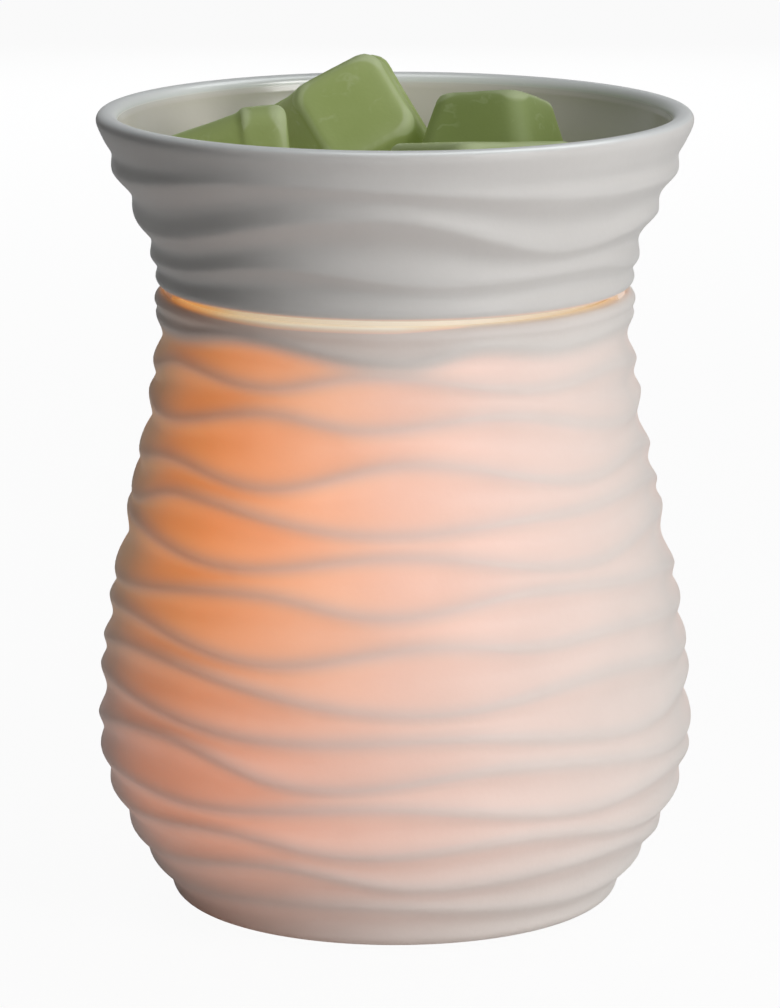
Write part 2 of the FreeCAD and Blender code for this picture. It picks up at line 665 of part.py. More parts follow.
def lead_height():
    """Height of a lead where it goes into the lampholder."""
    return BAR_TOP + LEAD_LIFT


def lampholder_body():
    """Steatite lampholder: a hollow drum with two lock slots in its top and two ports for the leads."""
    drum = cylinder(HOLDER_RADIUS, BAR_TOP, HOLDER_END)
    drum = drum.makeFillet(HOLDER_EDGE, level_edges(drum, HOLDER_END))
    drum = drum.cut(cylinder(HOLDER_CAVITY_RADIUS, HOLDER_CAVITY_BOTTOM, HOLDER_CAVITY_TOP))
    for start in (0, 180):
        drum = drum.cut(lock_slot(start))
    for y in (-HOLDER_SCREW_PLACE, HOLDER_SCREW_PLACE):
        hole = cylinder(HOLDER_SCREW_RADIUS + HOLE_CLEARANCE, BAR_TOP, HOLDER_CAVITY_BOTTOM, 0, y)
        drum = drum.cut(hole)
    middle = contact_leg() - CONTACT_THICKNESS / 2
    for x in (-middle, middle):
        port = Part.makeCylinder(LEAD_PORT_RADIUS, HOLDER_RADIUS, Vector(x, 0, lead_height()), ALONG_Y)
        drum = drum.cut(port)
    save("lampholder_body", drum)


def lampholder_contacts():
    """Brass contacts: a leg from the lampholder's floor to a pad just under the path of a pin's head."""
    pad_top = PIN_HEAD_BOTTOM - PIN_CLEARANCE
    leg = contact_leg()
    inner = PIN_CIRCLE - PIN_HEAD_RADIUS
    outline = (
        (inner, pad_top), (leg, pad_top), (leg, HOLDER_CAVITY_BOTTOM), (inner, HOLDER_CAVITY_BOTTOM),
        (inner, HOLDER_CAVITY_BOTTOM + CONTACT_THICKNESS),
        (leg - CONTACT_THICKNESS, HOLDER_CAVITY_BOTTOM + CONTACT_THICKNESS),
        (leg - CONTACT_THICKNESS, pad_top - CONTACT_THICKNESS), (inner, pad_top - CONTACT_THICKNESS),
    )
    start = CONTACT_SHIFT - CONTACT_WIDTH / 2
    corners = [Vector(x, start, z) for x, z in outline]
    right = Part.Face(Part.makePolygon(corners + corners[:1])).extrude(ALONG_Y * CONTACT_WIDTH)
    left = right.copy()
    left.rotate(ORIGIN, UP, 180)
    save("lampholder_contact_right", right)
    save("lampholder_contact_left", left)


def lampholder_screws():
    """Screws from inside the lampholder into the bar."""
    screws = []
    for y in (-HOLDER_SCREW_PLACE, HOLDER_SCREW_PLACE):
        shank = cylinder(HOLDER_SCREW_RADIUS, BAR_BOTTOM, HOLDER_CAVITY_BOTTOM, 0, y)
        top = HOLDER_CAVITY_BOTTOM + HOLDER_SCREW_HEAD_HEIGHT
        head = cylinder(HOLDER_SCREW_HEAD_RADIUS, HOLDER_CAVITY_BOTTOM, top, 0, y)
        head = head.makeFillet(HOLDER_SCREW_HEAD_HEIGHT / 2, level_edges(head, top))
        screws.append(shank.fuse(head))
    save("lampholder_screws", *screws)


def lamp_base():
    """Stem and collar of the lamp, with a socket for the capsule, and its two headed pins."""
    stem_top = LAMP_BOTTOM + LAMP_STEM_HEIGHT
    slant = LAMP_COLLAR_RADIUS - LAMP_STEM_RADIUS
    base = turned_outline((
        (0, LAMP_BOTTOM), (LAMP_STEM_RADIUS, LAMP_BOTTOM), (LAMP_STEM_RADIUS, stem_top),
        (LAMP_COLLAR_RADIUS, stem_top + slant), (LAMP_COLLAR_RADIUS, REFLECTOR_BOTTOM), (0, REFLECTOR_BOTTOM),
    ))
    socket_bottom = REFLECTOR_BOTTOM - CAPSULE_SOCKET_DEPTH
    socket = cylinder(CAPSULE_RADIUS + HOLE_CLEARANCE, socket_bottom, REFLECTOR_BOTTOM)
    save("lamp_base", base.cut(socket))
    pins = []
    for x in (-PIN_CIRCLE, PIN_CIRCLE):
        neck = cylinder(PIN_RADIUS, PIN_HEAD_TOP, LAMP_BOTTOM, x)
        pins.append(neck.fuse(cylinder(PIN_HEAD_RADIUS, PIN_HEAD_BOTTOM, PIN_HEAD_TOP, x)))
    save("lamp_pins", *pins)


def lamp_reflector():
    """Curved reflector cup, and the front glass set in its rim."""
    steps = 5
    rim_bottom = LAMP_TOP - REFLECTOR_RIM
    outer = []
    inner = []
    for i in range(steps + 1):
        t = i / steps
        radius = LAMP_COLLAR_RADIUS + (REFLECTOR_RADIUS - LAMP_COLLAR_RADIUS) * math.sqrt(t)
        z = REFLECTOR_BOTTOM + (rim_bottom - REFLECTOR_BOTTOM) * t
        outer.append(Vector(radius, 0, z))
        inner.append(Vector(radius - REFLECTOR_WALL, 0, z + REFLECTOR_WALL * (1 - t)))
    neck = CAPSULE_RADIUS + HOLE_CLEARANCE
    top_outer = Vector(REFLECTOR_RADIUS, 0, LAMP_TOP)
    top_inner = Vector(REFLECTOR_RADIUS - REFLECTOR_WALL, 0, LAMP_TOP)
    neck_bottom = Vector(neck, 0, REFLECTOR_BOTTOM)
    neck_top = Vector(neck, 0, REFLECTOR_BOTTOM + REFLECTOR_WALL)
    cup = turned([
        straight(neck_bottom, outer[0]), curve_through(outer), straight(outer[-1], top_outer),
        straight(top_outer, top_inner), straight(top_inner, inner[-1]), curve_through(inner[::-1]),
        straight(inner[0], neck_top), straight(neck_top, neck_bottom),
    ])
    save("lamp_reflector", cup)
    glass_radius = REFLECTOR_RADIUS - REFLECTOR_WALL - FRONT_GLASS_CLEARANCE
    save("lamp_front_glass", cylinder(glass_radius, LAMP_TOP - FRONT_GLASS_THICKNESS, LAMP_TOP))


def lamp_capsule():
    """Glass capsule, open into the lamp base, and the wire arch that glows inside it."""
    bottom = REFLECTOR_BOTTOM - CAPSULE_SOCKET_DEPTH
    top = bottom + CAPSULE_HEIGHT
    shell = cylinder(CAPSULE_RADIUS, bottom, top)
    shell = shell.makeFillet(CAPSULE_RADIUS * CAPSULE_DOME_SHARE, level_edges(shell, top))
    room_radius = CAPSULE_RADIUS - CAPSULE_WALL
    room = cylinder(room_radius, bottom, top - CAPSULE_WALL)
    room = room.makeFillet(room_radius * CAPSULE_DOME_SHARE, level_edges(room, top - CAPSULE_WALL))
    save("lamp_capsule", shell.cut(room))
    shoulder = top - FILAMENT_DROP - FILAMENT_HALF_SPAN
    left, right = (Vector(x, 0, bottom) for x in (-FILAMENT_HALF_SPAN, FILAMENT_HALF_SPAN))
    left_top, right_top = (Vector(x, 0, shoulder) for x in (-FILAMENT_HALF_SPAN, FILAMENT_HALF_SPAN))
    arch = Part.Arc(left_top, Vector(0, 0, shoulder + FILAMENT_HALF_SPAN), right_top).toShape()
    path = Part.Wire([straight(left, left_top), arch, straight(right_top, right)])
    section = Part.Wire([Part.makeCircle(FILAMENT_RADIUS, left, UP)])
    save("lamp_filament", path.makePipeShell([section], True, False))


def terminal_block():
    """Plastic terminal block on the bar, with two brass sleeves, their screws and its fixing screw."""
    top = BAR_TOP + TERMINAL_HEIGHT
    front = TERMINAL_MIDDLE - TERMINAL_LENGTH / 2
    housing = block(TERMINAL_WIDTH, TERMINAL_LENGTH, BAR_TOP, top, 0, TERMINAL_MIDDLE)
    housing = housing.makeFillet(TERMINAL_EDGE, level_edges(housing, top))
    housing = housing.cut(
        cylinder(FIXING_SCREW_RADIUS + HOLE_CLEARANCE, BAR_TOP, top, 0, TERMINAL_MIDDLE)
    )
    sleeves = []
    screws = []
    for x in (-TERMINAL_SPACING / 2, TERMINAL_SPACING / 2):
        start = Vector(x, front, SLEEVE_HEIGHT)
        bore = Part.makeCylinder(SLEEVE_RADIUS + SLEEVE_CLEARANCE, TERMINAL_LENGTH, start, ALONG_Y)
        sleeve = Part.makeCylinder(SLEEVE_RADIUS, TERMINAL_LENGTH, start, ALONG_Y)
        sleeve = sleeve.cut(Part.makeCylinder(SLEEVE_BORE, TERMINAL_LENGTH, start, ALONG_Y))
        housing = housing.cut(bore)
        for y in (TERMINAL_MIDDLE - TERMINAL_SCREW_OFFSET, TERMINAL_MIDDLE + TERMINAL_SCREW_OFFSET):
            housing = housing.cut(cylinder(TERMINAL_WELL_RADIUS, SLEEVE_HEIGHT, top, x, y))
            hole = cylinder(TERMINAL_SCREW_RADIUS + SLEEVE_CLEARANCE, SLEEVE_HEIGHT, top, x, y)
            sleeve = sleeve.cut(hole)
            tip = SLEEVE_HEIGHT + LEAD_RADIUS + SLEEVE_CLEARANCE
            screws.append(cylinder(TERMINAL_SCREW_RADIUS, tip, top - TERMINAL_EDGE, x, y))
        sleeves.append(sleeve)
    save("terminal_housing", housing)
    save("terminal_sleeves", *sleeves)
    save("terminal_screws", *screws)
    shank = cylinder(FIXING_SCREW_RADIUS, BAR_BOTTOM, top, 0, TERMINAL_MIDDLE)
    head = cylinder(FIXING_HEAD_RADIUS, top, top + FIXING_HEAD_HEIGHT, 0, TERMINAL_MIDDLE)
    head = head.makeFillet(FIXING_HEAD_HEIGHT / 2, level_edges(head, top + FIXING_HEAD_HEIGHT))
    save("terminal_fixing_screw", shank.fuse(head))


def rounded_path(points):
    """Wire of straight runs between points, with a large tangent arc at each corner."""
    edges = []
    start = points[0]
    for before, corner, after in zip(points, points[1:], points[2:]):
        back = (before - corner).normalize()
        ahead = (after - corner).normalize()
        reach = LEAD_CORNER_SHARE * min((before - corner).Length, (after - corner).Length)
        half_turn = (math.pi - back.getAngle(ahead)) / 2
        radius = reach / math.tan(half_turn)
        inward = (back + ahead).normalize()
        middle = corner + inward * (radius / math.cos(half_turn) - radius)
        arc_start = corner + back * reach
        arc_end = corner + ahead * reach
        edges += [straight(start, arc_start), Part.Arc(arc_start, middle, arc_end).toShape()]
        start = arc_end
    edges.append(straight(start, points[-1]))
    return Part.Wire(edges)


def lead_wires():
    """Insulated leads from the contacts' legs, out of the lampholder and into the terminal sleeves."""
    front = TERMINAL_MIDDLE - TERMINAL_LENGTH / 2
    middle = contact_leg() - CONTACT_THICKNESS / 2
    leg_edges = {"right": (1, CONTACT_SHIFT + CONTACT_WIDTH / 2), "left": (-1, CONTACT_WIDTH / 2 - CONTACT_SHIFT)}
    for name, (side, leg_edge) in leg_edges.items():
        points = [
            Vector(side * middle, leg_edge, lead_height()),
            Vector(side * middle, HOLDER_RADIUS, lead_height()),
            Vector(side * TERMINAL_SPACING / 2, front - LEAD_STRAIGHT, SLEEVE_HEIGHT),
            Vector(side * TERMINAL_SPACING / 2, front + LEAD_INSERT, SLEEVE_HEIGHT),
        ]
        section = Part.Wire([Part.makeCircle(LEAD_RADIUS, points[0], ALONG_Y)])
        save(f"lead_wire_{name}", rounded_path(points).makePipeShell([section], True, False))


def cord_grommet():
    """Rubber bush: a flange on the seat outside, a neck through the wall and a ring that holds it inside."""
    frame, tilt = bush_frame()
    neck_radius = BUSH_NECK_RADIUS - BUSH_CLEARANCE
    inside = BODY_WALL * math.cos(tilt) - BUSH_SEAT_DEPTH + BUSH_INNER_GAP
    bush = turned_outline((
        (BUSH_BORE_RADIUS, BUSH_FLANGE_THICKNESS),
        (BUSH_FLANGE_RADIUS - BUSH_FLANGE_THICKNESS / 2, BUSH_FLANGE_THICKNESS),
        (BUSH_FLANGE_RADIUS, BUSH_FLANGE_THICKNESS / 2),
        (BUSH_FLANGE_RADIUS, 0),
        (neck_radius, 0),
        (neck_radius, -inside),
        (BUSH_RING_RADIUS, -inside),
        (neck_radius, -inside - BUSH_RING_THICKNESS),
        (BUSH_BORE_RADIUS, -inside - BUSH_RING_THICKNESS),
    ))
    bush.Placement = frame
    save("cord_grommet", bush)
    entry = frame.Base
    axis = frame.Rotation.multVec(UP)
    print("bush seat", [round(v, 4) for v in entry], "axis", [round(v, 5) for v in axis])


os.makedirs("parts", exist_ok=True)
ripple_body()
floor_ring()
wax_dish()
wax_cubes()
base_plate()
feet()
clamp_bar()
clamp_bolts()
lampholder_body()
lampholder_contacts()
lampholder_screws()
lamp_base()
lamp_reflector()
lamp_capsule()
terminal_block()
lead_wires()
cord_grommet()
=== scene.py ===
import math

import bmesh
import bpy
import numpy as np
from mathutils import Matrix, Vector, noise


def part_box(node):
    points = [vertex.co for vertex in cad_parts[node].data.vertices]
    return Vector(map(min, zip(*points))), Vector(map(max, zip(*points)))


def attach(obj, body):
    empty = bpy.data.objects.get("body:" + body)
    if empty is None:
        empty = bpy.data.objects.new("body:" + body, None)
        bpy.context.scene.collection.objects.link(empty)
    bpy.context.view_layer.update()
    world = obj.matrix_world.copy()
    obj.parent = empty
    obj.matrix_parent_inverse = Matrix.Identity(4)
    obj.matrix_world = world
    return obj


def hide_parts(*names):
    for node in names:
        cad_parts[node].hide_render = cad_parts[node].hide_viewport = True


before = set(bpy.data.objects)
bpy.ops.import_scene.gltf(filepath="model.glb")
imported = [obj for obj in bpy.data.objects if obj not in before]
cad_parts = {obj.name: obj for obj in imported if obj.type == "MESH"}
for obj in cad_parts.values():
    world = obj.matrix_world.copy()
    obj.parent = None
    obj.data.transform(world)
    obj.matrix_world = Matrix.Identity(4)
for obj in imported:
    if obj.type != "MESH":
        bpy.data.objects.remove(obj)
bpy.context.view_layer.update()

# Wax warmer pot: a rippled porcelain lamp body lit from inside, a flared dish on it and four wax cubes in it.
# Metres, in the frame of the solids: +Z is up and the front faces -Y.
# Angles round the pot are in degrees from the front, growing towards +X.
MM = 0.001

# Lamp body, with the radii of its ripple crests.
FOOT_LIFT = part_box("ripple_body")[0].z
BODY_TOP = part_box("ripple_body")[1].z
FOOT_RADIUS = 42.8 * MM
BELLY_RADIUS = 58.9 * MM
BELLY_HEIGHT = 36.0 * MM
NECK_RADIUS = 46.8 * MM
LIP_RADIUS = 47.2 * MM
COLLAR_HEIGHT = 6.7 * MM
NECK_HEIGHT = BODY_TOP - COLLAR_HEIGHT
BODY_WALL = 4.4 * MM
FOOT_ROUND = 1.6 * MM
LIP_ROUND = 1.7 * MM
SHOULDER_FULLNESS = 0.65
RECESS_RADIUS = 36.0 * MM
LEDGE_HEIGHT = 9.0 * MM
SMALL_ROUND = 0.5 * MM
OUTER_SHARE = 0.6

# Seat and hole of the cord bush in the back wall.
BUSH_HEIGHT = 19.0 * MM
BUSH_SEAT_DEPTH = 1.4 * MM
BUSH_SEAT_RADIUS = 7.6 * MM
BUSH_HOLE_RADIUS = 5.0 * MM

# Dish. Its rim is painted as a paler, bluish band, a painted highlight, that reaches further down inside than
# outside.
DISH_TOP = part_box("wax_dish")[1].z
RING_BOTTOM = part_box("wax_dish")[0].z
DISH_HEIGHT = 34.1 * MM
DISH_BOTTOM = DISH_TOP - DISH_HEIGHT
DISH_BASE_RADIUS = 46.7 * MM
RIM_RADIUS = 58.5 * MM
RIM_ROUND = 1.95 * MM
RIM_FLAT = 0.5 * MM
RIM_BLEND = 8.0 * MM
RIM_INSIDE = 2.2 * MM
RIM_OUTSIDE = 1.0 * MM
RIM_FADE = 0.7 * MM
DISH_WALL = 4.8 * MM
BOWL_FLOOR = DISH_BOTTOM + 5.0 * MM
BOWL_CORNER = 5.0 * MM
DISH_STRAIGHTNESS = 0.3
DISH_ROUND = 1.6 * MM
RING_OUTER = 41.6 * MM
RING_INNER = 38.6 * MM
REST_ANGLES = (78.0, 180.0, 282.0)
REST_SPAN = 10.0
REST_INNER = 43.0 * MM
REST_OUTER = 45.3 * MM

# Ripples. Each crest line swings between turning points: the angle, and the height in thousandths of the
# body's or the dish's height. The lines repeat after half a turn. Near the dish's rim they are shallower.
BODY_RIPPLE_DEPTH = 1.1 * MM
DISH_RIPPLE_DEPTH = 1.3 * MM
DEEPEST_VALLEY = 1.35
VALLEY_FULLNESS = 1.6
REPEAT_ANGLE = 180.0
RIM_CALM = 0.5
RIM_CALM_DEPTH = 9.0 * MM
RIM_CALM_FADE = 4.0 * MM
BODY_CRESTS = (
    ((-62, 61), (-8, 78), (46, 58), (84, 72)),
    ((-62, 115), (-25, 144), (5, 114), (56, 138), (86, 120)),
    ((-62, 184), (-36, 196), (-8, 173), (28, 196), (62, 173), (88, 189)),
    ((-72, 247), (-42, 234), (-2, 258), (39, 230), (72, 254)),
    ((-52, 337), (-15, 285), (23, 316), (70, 288)),
    ((-78, 390), (-25, 357), (10, 368), (53, 343), (84, 382)),
    ((-60, 459), (5, 407), (48, 444), (80, 427)),
    ((-67, 509), (-27, 476), (9, 512), (30, 501), (50, 508), (80, 497)),
    ((-82, 546), (-28, 581), (-2, 557), (30, 586), (70, 571)),
    ((-80, 649), (-37, 618), (2, 649), (43, 616), (78, 653)),
    ((-80, 678), (-53, 715), (-3, 681), (35, 698), (75, 713)),
    ((-84, 744), (-60, 764), (-31, 744), (4, 790), (48, 745), (74, 768)),
    ((-66, 824), (-29, 859), (-7, 842), (22, 858), (66, 816), (88, 838)),
    ((-84, 887), (-62, 914), (-33, 898), (-5, 924), (38, 894), (64, 906)),
    ((-66, 961), (-38, 978), (2, 947), (22, 970), (42, 958), (70, 966)),
)
DISH_CRESTS = (
    ((-65, 179), (-25, 287), (12, 208), (50, 238), (80, 164)),
    ((-68, 364), (-4, 607), (41, 367), (75, 443)),
    ((-75, 663), (-22, 795), (55, 677)),
)

# Wax cubes: the painted shade of each, as a lit level from shaded at 0 to plain at 1, the fineness and
# softening of their skin, and slow dents. An edge is frosted by how far it stands out of the same cube after a
# number of blurring steps.
CUBE_PAINTED_LIT_LEVELS = {"left": 0.9, "middle": 1.0, "right": 0.4, "front": 0.9}
SKIN_SIZE = 0.55 * MM
SOFTEN_SHARE = 0.5
SOFTEN_STEPS = 6
DENT_SIZE = 9.0 * MM
DENT_DEPTH = 0.18 * MM
DENT_LEVEL = 0.6
BLUR_STEPS = 30
RIDGE_HEIGHT = 0.58 * MM

# Fineness of the porcelain: points round a ring, and rows up each wall, round an edge and down an inside wall.
RING_POINTS = 320
BODY_ROWS = 230
DISH_ROWS = 80
EDGE_ROWS = 7
INSIDE_ROWS = 40
CRISP_ANGLE = 50.0

# Lamplight through the porcelain, painted as glow: its share by angle round the pot and by height in
# millimetres, how bright the lit gap is, how many millimetres of the lip stay dark, and how much painted
# warmth the light adds to the glaze's base colour. A crest dims it over a short distance, and the collar above
# the last crest stays dim.
LIGHT_BY_ANGLE = (
    (-180, 0.75), (-125, 0.60), (-88, 0.17), (-74, 0.29), (-58, 0.72), (-42, 0.95), (-30, 1.00), (-20, 0.93),
    (28, 0.44), (75, 0.10), (130, 0.55), (180, 0.75),
)
LIGHT_BY_HEIGHT = (
    (0, 0.06), (12, 0.30), (26, 0.68), (44, 0.72), (82, 1.02), (100, 0.98), (108, 0.87), (123, 0.80),
)
GAP_LIGHT = (
    (-180, 1.0), (-120, 0.7), (-78, 0.25), (-58, 0.5), (-46, 0.8), (-5, 1.0), (16, 1.0), (36, 0.8), (65, 0.65),
    (85, 0.4), (130, 0.8), (180, 1.0),
)
LIP_DARK = (
    (-180, 0.6), (-120, 0.8), (-75, 1.2), (-30, 0.45), (0, 0.55), (26, 1.7), (90, 1.8), (130, 0.8), (180, 0.6),
)
WARMTH_BY_ANGLE = ((-180, 0.3), (-90, 1.0), (-50, 1.0), (0, 0.1), (20, 0.0), (150, 0.0), (180, 0.3))
WARM_FROM = 34.0 * MM
WARM_RISE = 40.0 * MM
CREST_COOLNESS = 0.5
WALL_LIGHT = 0.62
INSIDE_LIGHT = (0.20, 0.135, 0.065)
CREST_DIMNESS = 0.46
SPREAD_ABOVE = 1.7 * MM
SPREAD_BELOW = 1.6 * MM
COLLAR_LIGHT = 0.17
COLLAR_FADE = 4.5 * MM
LIP_FADE = 1.4 * MM
DISH_FRINGE = 0.8 * MM

# Camera of the photograph: where it stands, how far it looks down, and its lens.
CAMERA_PLACE = (-0.97 * MM, -1097.6 * MM, 308.9 * MM)
CAMERA_PITCH = 11.807
CAMERA_LENS = 202.6

# Lights: azimuth from the front, elevation, distance, size across, power and colour. The back light only fills
# the shade behind the pot, so the glaze doesn't mirror it.
LIGHT_AIM = Vector((0, 0, 80 * MM))
LIGHTS = {
    "key": (45, 10, 1.3, 0.6, 6.1, (1.0, 0.99, 0.98)),
    "high": (45, 35, 1.3, 0.6, 4.0, (1.0, 0.99, 0.98)),
    "side": (120, 60, 1.3, 0.8, 2.4, (0.94, 0.98, 1.0)),
    "above": (0, 89, 1.3, 0.8, 1.7, (0.94, 0.98, 1.0)),
    "back": (180, 14, 1.3, 0.6, 4.2, (0.94, 0.98, 1.0)),
}
FILL_LIGHT = "back"
AMBIENT = 0.01
REFLECTED_WHITE = 0.4
REFLECTED_FLOOR = 0.1
FLOOR_REACH = 6.0
FLOOR_WHITE = 0.95
FLOOR_ROUGHNESS = 0.9


class Paint:
    """A value inside a material. Sums and products add Math nodes, and node() adds a node of any kind."""

    def __init__(self, tree, socket=None):
        self.tree = tree
        self.socket = socket

    def node(self, kind, settings=None, sockets=None, out=0):
        """New node: its settings first, a ramp's stops among them, then the values or links of its sockets."""
        made = self.tree.nodes.new(kind)
        for name, value in (settings or {}).items():
            if name == "stops":
                self.set_stops(made.color_ramp, value)
            else:
                setattr(made, name, value)
        for name, value in (sockets or {}).items():
            self.feed(made.inputs[name], value)
        return Paint(self.tree, made.outputs[out])

    def set_stops(self, ramp, stops):
        """Stops of a ramp, each a place and a colour."""
        for spare in list(ramp.elements)[1:]:
            ramp.elements.remove(spare)
        for i, (place, colour) in enumerate(stops):
            element = ramp.elements.new(place) if i else ramp.elements[0]
            element.position = place
            element.color = (*colour, 1.0)

    def feed(self, socket, value):
        """Link a value to a socket, or set a plain number or colour on it."""
        if isinstance(value, Paint):
            self.tree.links.new(value.socket, socket)
        else:
            socket.default_value = value

    def math(self, operation, first, second):
        """Math node of two values or numbers."""
        return self.node("ShaderNodeMath", {"operation": operation}, {0: first, 1: second})

    def __add__(self, other):
        return self.math("ADD", self, other)

    def __sub__(self, other):
        return self.math("SUBTRACT", self, other)

    def __rsub__(self, other):
        return self.math("SUBTRACT", other, self)

    def __mul__(self, other):
        return self.math("MULTIPLY", self, other)

    __radd__ = __add__
    __rmul__ = __mul__


def place_on(paint, stretch=(1.0, 1.0, 1.0)):
    """Place on the piece in metres, stretched along the axes."""
    where = paint.node("ShaderNodeTexCoord", out="Object")
    return paint.node("ShaderNodeVectorMath", {"operation": "MULTIPLY"}, {0: where, 1: stretch})


def grain(paint, size, detail=2.0, stretch=(1.0, 1.0, 1.0)):
    """Cloudy noise from 0 to 1 whose spots are about one size across."""
    sockets = {"Vector": place_on(paint, stretch), "Scale": 1 / size, "Detail": detail}
    return paint.node("ShaderNodeTexNoise", None, sockets)


def step_between(paint, value, low, high):
    """0 below low and 1 above high, eased between them."""
    settings = {"interpolation_type": "SMOOTHSTEP", "clamp": True}
    return paint.node("ShaderNodeMapRange", settings, {"Value": value, "From Min": low, "From Max": high})


def between(paint, first, second, share):
    """Colour between two colours."""
    colours = [c if isinstance(c, Paint) else (*c, 1.0) for c in (first, second)]
    return paint.node("ShaderNodeMix", {"data_type": "RGBA"}, {0: share, 6: colours[0], 7: colours[1]}, 2)


def stored(paint, name):
    """Number stored on the points of a mesh."""
    return paint.node("ShaderNodeAttribute", {"attribute_name": name}, out="Fac")


def raised(paint, height, depth):
    """Normal of a surface raised by a height from 0 to 1, times a depth in metres."""
    return paint.node("ShaderNodeBump", None, {"Height": height, "Distance": depth, "Strength": 1.0})


def finish_of(name, fixed, varying):
    """Material: fixed values are set on the shader's own sockets, and varying ones are linked to theirs."""
    made = bpy.data.materials.new(name)
    made.use_nodes = True
    shader = made.node_tree.nodes["Principled BSDF"]
    for socket, value in fixed.items():
        shader.inputs[socket].default_value = value
    paint = Paint(made.node_tree)
    for socket, value in varying(paint).items():
        paint.feed(shader.inputs[socket], value)
    return made


def lamp_colour(paint, light):
    """Colour of the lamplight through the wall."""
    return paint.node("ShaderNodeValToRGB", {"stops": (
        (0.00, (0.0, 0.0, 0.0)), (0.15, (0.155, 0.050, 0.022)), (0.30, (0.310, 0.083, 0.024)),
        (0.45, (0.460, 0.106, 0.014)), (0.60, (0.600, 0.124, 0.008)),
    )}, {"Fac": light})


def gap_colour(paint, light):
    """Colour of the lamplight at the open gap: orange where it is faint, and pale where it is bright."""
    return paint.node("ShaderNodeValToRGB", {"stops": (
        (0.00, (0.0, 0.0, 0.0)), (0.20, (0.19, 0.055, 0.006)), (0.42, (0.23, 0.085, 0.012)),
        (0.72, (0.20, 0.15, 0.09)), (1.00, (0.255, 0.24, 0.205)),
    )}, {"Fac": light})


def body_glaze(paint):
    """Satin porcelain that the lamp shines through, brightest in the valleys and dim on the thick crests."""
    clouds = grain(paint, 14 * MM, 3.0)
    peel = grain(paint, 1.3 * MM, 2.0)
    light = stored(paint, "lamplight")
    plain = between(paint, (0.77, 0.74, 0.71), (0.83, 0.80, 0.77), clouds)
    warmed = between(paint, (0.77, 0.69, 0.43), (0.83, 0.75, 0.47), clouds)
    through_wall = lamp_colour(paint, light * (0.94 + clouds * 0.12))
    lip = stored(paint, "gaplight")
    outside = between(paint, through_wall, gap_colour(paint, lip), step_between(paint, lip, 0.0, 0.3))
    return {
        # Base colour painted warmer where the lamplight falls: painted light, not a warmer glaze.
        "Base Color": between(paint, plain, warmed, stored(paint, "painted_warmth")),
        "Roughness": 0.40 + peel * 0.10,
        "Emission Color": between(paint, outside, INSIDE_LIGHT, stored(paint, "inside")),
        "Normal": raised(paint, peel, 0.03 * MM),
    }


def dish_glaze(paint):
    """Porcelain, satin outside and glossy inside, with a painted pale highlight on its rim and a little warm
    light at the gap.
    """
    clouds = grain(paint, 18 * MM, 3.0)
    peel = grain(paint, 1.5 * MM, 2.0)
    glossy = stored(paint, "glossy")
    outside = between(paint, (0.72, 0.70, 0.68), (0.78, 0.765, 0.745), clouds)
    inside = between(paint, (0.73, 0.69, 0.62), (0.79, 0.75, 0.68), clouds)
    rim = stored(paint, "rim")
    return {
        # The rim's pale bluish base colour is a painted highlight; its coat and lower roughness are real
        # gloss.
        "Base Color": between(paint, between(paint, outside, inside, glossy), (0.92, 0.95, 0.95), rim),
        "Roughness": 0.42 + peel * 0.08 - glossy * (1 - rim) * 0.34,
        "Coat Weight": paint.math("MAXIMUM", rim, glossy * 0.6),
        "Emission Color": gap_colour(paint, stored(paint, "gaplight")),
        "Normal": raised(paint, peel, 0.025 * MM),
    }


def cube_wax(paint):
    """Green wax: cloudy, paler and frosted along its edges, with soft scuffs, and each cube darkened by its
    painted shade.
    """
    edge = stored(paint, "edge")
    painted_lit_level = stored(paint, "painted_lit_level")
    clouds = grain(paint, 9 * MM, 4.0)
    fine = grain(paint, 0.7 * MM, 3.0)
    lines = paint.math("ABSOLUTE", grain(paint, 7 * MM, 3.0, (1.0, 0.6, 1.5)) - 0.5, 0.0)
    patches = step_between(paint, grain(paint, 6 * MM, 2.0), 0.52, 0.66)
    scuffs = (1 - step_between(paint, lines, 0.0, 0.05)) * patches * (0.08 + fine * 0.22)
    frost = edge * 0.12 + step_between(paint, edge, 0.7, 1.0) * 0.42
    deep = between(paint, (0.285, 0.360, 0.118), (0.365, 0.440, 0.172), clouds)
    # Painted shade: a cube's lit level darkens its colour towards a shaded green.
    shaded = between(paint, (0.10, 0.15, 0.035), deep, painted_lit_level)
    return {
        "Base Color": between(paint, shaded, (0.60, 0.66, 0.46), paint.math("MAXIMUM", frost, scuffs)),
        "Roughness": 0.44 + fine * 0.12 + edge * 0.1,
        "Normal": raised(paint, clouds * 0.7 + fine * 0.12, 0.25 * MM),
    }


def two_tone(dark, light, size, roughness, spread, depth=0.0, stretch=(1.0, 1.0, 1.0)):
    """Finish that clouds between two colours, with a fine grain in its roughness and its surface."""
    def finish(paint):
        clouds = grain(paint, size, 3.0)
        fine = grain(paint, size / 12, 3.0, stretch)
        sockets = {"Base Color": between(paint, dark, light, clouds), "Roughness": roughness + fine * spread}
        if depth:
            sockets["Normal"] = raised(paint, fine, depth)
        return sockets
    return finish


def faceted_mirror(paint):
    """Mirror coat of the lamp's reflector, pressed into small facets."""
    cells = {"Vector": place_on(paint), "Scale": 1 / (3.2 * MM)}
    facet = paint.node("ShaderNodeTexVoronoi", None, cells, "Distance")
    haze = grain(paint, 5 * MM, 2.0)
    return {
        "Base Color": between(paint, (0.78, 0.75, 0.70), (0.90, 0.87, 0.82), facet),
        "Roughness": 0.07 + haze * 0.06,
        "Normal": raised(paint, facet, 0.35 * MM),
    }


